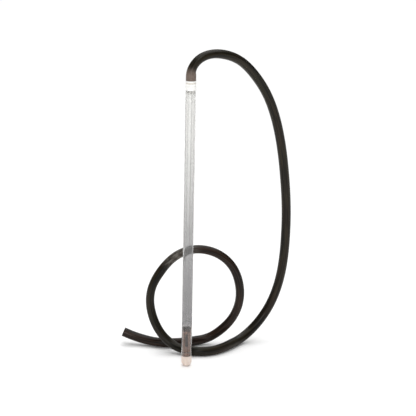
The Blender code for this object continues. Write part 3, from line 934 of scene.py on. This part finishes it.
@dataclass
class CheckValve:
    """The valve in the tube's foot: body, windowed cage, castellated cap and the poppet with its seal."""

    pieces: tuple[ValvePiece, ...] = (
        ValvePiece(
            "valve_body", Body.WAND, "brown_plastic",
            Moulding("valve_body_plastic", (0.28, 0.15, 0.100), (0.19, 0.10, 0.065)),
        ),
        ValvePiece(
            "valve_cage", Body.WAND, "taupe_plastic",
            Moulding("valve_cage_plastic", (0.28, 0.165, 0.125), (0.18, 0.105, 0.078)),
        ),
        ValvePiece(
            "cage_cap", Body.WAND, "dark_brown_plastic",
            Moulding("cage_cap_plastic", (0.10, 0.06, 0.048), (0.06, 0.038, 0.03)),
        ),
        ValvePiece(
            "poppet", Body.POPPET, "dark_brown_plastic",
            Moulding("poppet_plastic", (0.12, 0.070, 0.052), (0.07, 0.042, 0.032)),
        ),
    )
    rubber: Moulding = Moulding("seal_rubber", (0.022, 0.021, 0.020), (0.012, 0.012, 0.011), gloss=0.6)
    silicone: Moulding = Moulding("pale_silicone", (0.92, 0.90, 0.87), (0.88, 0.86, 0.83), gloss=0.5)
    seals: tuple[str, ...] = ("body_o_ring", "face_washer", "poppet_seal")
    pale_seals: tuple[str, ...] = ("bush_o_ring",)

    def build(self, part: ValvePiece) -> bpy.types.Object:
        """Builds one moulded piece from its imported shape, with its edges rounded.

        Args:
            part: Which piece.

        Returns:
            The piece.
        """
        shape = copied(part.node)
        rounded(shape, part.edge)
        return as_object(f"{part.node}_moulded", shape)

    def dress(self, part: ValvePiece, piece: bpy.types.Object) -> None:
        """Gives one piece its finish."""
        piece.data.materials.append(part.finish.material())
        fitted(piece, part.body, (part.node,))

    def dress_seals(self) -> None:
        """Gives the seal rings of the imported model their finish."""
        for names, finish in ((self.seals, self.rubber), (self.pale_seals, self.silicone)):
            material = finish.material()
            for name in names:
                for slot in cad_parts[name].material_slots:
                    slot.material = material
                LOG.info("%s: finished in %s", name, finish.name)


# ---- The union -----------------------------------------------------------------------------------


@dataclass
class Union:
    """The white union on the tube's top: a bush in the tube, a barb for the hose, and a ribbed nut."""

    nut_radius: float = 0.0174
    nut_bore: float = 0.0152
    lip_radius: float = 0.0136
    lip_height: float = 0.0031
    waist_depth: float = 0.0010
    waist_low: float = 0.0077
    waist_high: float = 0.0122
    ribs: int = 40
    rib_depth: float = 0.0004
    rib_slope: float = 0.00012
    ring_slope: float = 0.0011  # length of the plain stretch at each end of the ribs
    line_at: tuple[float, float, float, float] = (0.0026, 0.0024, 0.0021, 0.0019)  # below the rim
    line_depth: float = 0.0003
    nut_edge: float = 0.0002
    bush_edge: float = 0.0003
    barb_edge: float = 0.0001
    white: Moulding = Moulding(
        "white_union_plastic", (0.90, 0.895, 0.875), (0.84, 0.835, 0.81), gloss=0.36
    )
    # Painted shade for the nut's recessed waist groove, where it lies in shadow.
    painted_shade: Colour = (0.66, 0.62, 0.56)

    def nut(self) -> bpy.types.Object:
        """Builds the nut.

        Returns:
            The nut, with grip ribs round its lower band and a waist under its rim.
        """
        low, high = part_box("coupling_nut")
        radius, waist = self.nut_radius, self.nut_radius - self.waist_depth
        base, height = low.z, high.z - low.z
        lip = height - self.lip_height
        line = [height - depth for depth in self.line_at]
        profile = [
            (self.nut_bore, 0.0),
            (radius - EDGE, 0.0),
            (radius, EDGE),
            (radius, self.ring_slope),
            (radius, self.waist_low - self.ring_slope),
            (radius, self.waist_low),
            (waist, self.waist_low + EDGE),
            (waist, self.waist_high - EDGE),
            (radius, self.waist_high),
            (radius, line[0]),
            (radius - self.line_depth, line[1]),
            (radius - self.line_depth, line[2]),
            (radius, line[3]),
            (radius, height - EDGE),
            (radius - EDGE, height),
            (self.lip_radius, height),
            (self.lip_radius, lip),
            (self.nut_bore, lip),
        ]
        shape = spun([(r, base + z) for r, z in profile], 3 * self.ribs)
        band = [
            face for face in shape.faces
            if abs(face.calc_center_median().z - (base + self.waist_low / 2)) < 0.0005
            and face.normal.xy.length > 0.9
            and face.calc_center_median().xy.length > radius - 0.0005
        ]
        facet = 120.0 / self.ribs  # degrees
        grooves = [
            face for face in band
            if round(math.degrees(math.atan2(*face.calc_center_median().yx)) % 360.0 / facet - 0.5) % 3 == 0
        ]
        bmesh.ops.inset_individual(
            shape, faces=grooves, thickness=self.rib_slope, depth=-self.rib_depth, use_even_offset=True
        )
        rounded(shape, self.nut_edge, 1)
        return as_object("union_nut", shape)

    def bush(self) -> bpy.types.Object:
        """Builds the bush.

        Returns:
            The bush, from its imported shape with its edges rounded.
        """
        shape = copied("tube_bush")
        rounded(shape, self.bush_edge)
        return as_object("tube_bush_moulded", shape)

    def barb(self) -> bpy.types.Object:
        """Builds the barb.

        Returns:
            The barb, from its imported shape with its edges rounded.
        """
        shape = copied("hose_barb", flattened=False)
        rounded(shape, self.barb_edge, 1)
        return as_object("hose_barb_moulded", shape)

    def dress(self) -> None:
        """Builds the three pieces and gives them their finish, with painted shade in the nut's waist
        groove.
        """
        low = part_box("coupling_nut")[0].z
        # The nut's finish gets the waist groove's shade painted into its colour.
        shaded_nut_finish = Moulding(
            "white_nut_plastic", self.white.light, self.white.dark, gloss=self.white.gloss,
            painted_shade=self.painted_shade, shade_from=low + self.waist_low, shade_to=low + self.waist_high,
        )
        nut, bush, barb = self.nut(), self.bush(), self.barb()
        nut.data.materials.append(shaded_nut_finish.material())
        fitted(nut, Body.NUT, ("coupling_nut",))
        white = self.white.material()
        for piece, node in ((bush, "tube_bush"), (barb, "hose_barb")):
            piece.data.materials.append(white)
            fitted(piece, Body.WAND, (node,))


# ---- The studio ----------------------------------------------------------------------------------


@dataclass(frozen=True)
class Panel:
    """A square panel light."""

    name: str
    power: float  # watts
    size: float
    at: Triple
    to: Triple  # the point it faces


@dataclass
class Studio:
    """A white floor under soft light, and the camera."""

    target: Triple = (0.0621, 0.0, 0.5453)
    distance: float = 6.0
    pitch: float = math.radians(16.0)  # downwards
    roll: float = 0.01953
    lens: float = 159.96
    floor_size: float = 60.0
    floor_drop: float = 0.0002  # below the wand's foot
    sun_strength: float = 2.10
    sun_spread: float = math.radians(70.0)
    sun_tilt: tuple[float, float] = (math.radians(-20.0), math.radians(3.0))  # about X and Y
    panels: tuple[Panel, ...] = (
        Panel("front_panel", 42.0, 0.6, (-0.4, -4.0, 1.5), (0.0, 0.0, 0.5)),
        Panel("top_panel", 24.0, 1.4, (0.2, -1.6, 3.6), (0.1, 0.1, 0.5)),
    )

    def camera(self) -> None:
        """Sets up the camera."""
        forward = Vector((0.0, math.cos(self.pitch), -math.sin(self.pitch)))
        up = Vector((0.0, math.sin(self.pitch), math.cos(self.pitch)))
        right = Vector((1.0, 0.0, 0.0))
        tilt_cos, tilt_sin = math.cos(self.roll), math.sin(self.roll)
        axes = Matrix((
            tilt_cos * right + tilt_sin * up,
            -tilt_sin * right + tilt_cos * up,
            -forward,
        )).transposed()
        data = bpy.data.cameras.new("camera")
        data.lens = self.lens
        data.sensor_width = 36.0
        data.clip_end = 200.0
        viewer = bpy.data.objects.new("camera", data)
        place = Vector(self.target) - self.distance * forward
        viewer.matrix_world = Matrix.Translation(place) @ axes.to_4x4()
        bpy.context.scene.collection.objects.link(viewer)
        bpy.context.scene.camera = viewer

    def floor(self) -> None:
        """Lays the floor."""
        shape = bmesh.new()
        bmesh.ops.create_grid(shape, x_segments=1, y_segments=1, size=self.floor_size / 2)
        bmesh.ops.translate(shape, vec=(0.0, 0.0, -self.floor_drop), verts=shape.verts)
        ground = as_object("floor", shape)
        recipe = Recipe("white_floor")
        tone = recipe.noise((3.0, 3.0, 3.0), 2.0)
        recipe.colour(recipe.blend(tone, (0.95, 0.95, 0.945), (0.94, 0.94, 0.94)))
        recipe.plain(roughness=0.7, specular_ior_level=0.2)
        ground.data.materials.append(recipe.material)

    def lights(self) -> None:
        """Hangs the lights."""
        self.sun()
        for panel in self.panels:
            self.hang(panel)

    def sun(self) -> None:
        """Adds a broad light from above and a little behind."""
        data = bpy.data.lights.new("sun", "SUN")
        data.energy = self.sun_strength
        data.angle = self.sun_spread
        lamp = bpy.data.objects.new("sun", data)
        lamp.rotation_euler = (*self.sun_tilt, 0.0)
        bpy.context.scene.collection.objects.link(lamp)

    @staticmethod
    def hang(panel: Panel) -> None:
        """Hangs one panel.

        Args:
            panel: The panel.
        """
        data = bpy.data.lights.new(panel.name, "AREA")
        data.energy = panel.power
        data.size = panel.size
        lamp = bpy.data.objects.new(panel.name, data)
        lamp.location = panel.at
        lamp.rotation_euler = (Vector(panel.to) - Vector(panel.at)).to_track_quat("-Z", "Y").to_euler()
        bpy.context.scene.collection.objects.link(lamp)

    @staticmethod
    def sky() -> None:
        """Makes the surroundings: white to look at, dimmer behind the pieces, dark in reflections."""
        world = bpy.data.worlds.new("studio")
        world.use_nodes = True
        tree = world.node_tree
        back = tree.nodes["Background"]
        path = tree.nodes.new("ShaderNodeLightPath")
        level = None
        levels = (
            ("Is Glossy Ray", SKY_MIRRORED),
            ("Is Transmission Ray", SKY_THROUGH),
            ("Is Camera Ray", SKY_SEEN),
        )
        for ray, strength in levels:
            mix = tree.nodes.new("ShaderNodeMix")
            mix.inputs["A"].default_value = SKY_LIGHT
            mix.inputs["B"].default_value = strength
            tree.links.new(path.outputs[ray], mix.inputs["Factor"])
            if level is not None:
                tree.links.new(level, mix.inputs["A"])
            level = mix.outputs["Result"]
        tree.links.new(level, back.inputs["Strength"])
        back.inputs["Color"].default_value = (1.0, 1.0, 1.0, 1.0)
        bpy.context.scene.world = world
        bpy.context.scene.view_settings.view_transform = "Standard"


def main() -> None:
    """Builds everything in order: the camera and the hose first."""
    logging.basicConfig(level=logging.INFO, format="%(name)s: %(message)s")
    studio = Studio()
    studio.camera()
    hose = Hose()
    hose.dress(hose.build())
    tube = ClearTube()
    tube.dress(tube.build())
    nose = Nose()
    nose.dress(nose.build())
    valve = CheckValve()
    for part in valve.pieces:
        valve.dress(part, valve.build(part))
    valve.dress_seals()
    Union().dress()
    studio.floor()
    studio.lights()
    studio.sky()


if __name__ == "__main__":
    main()
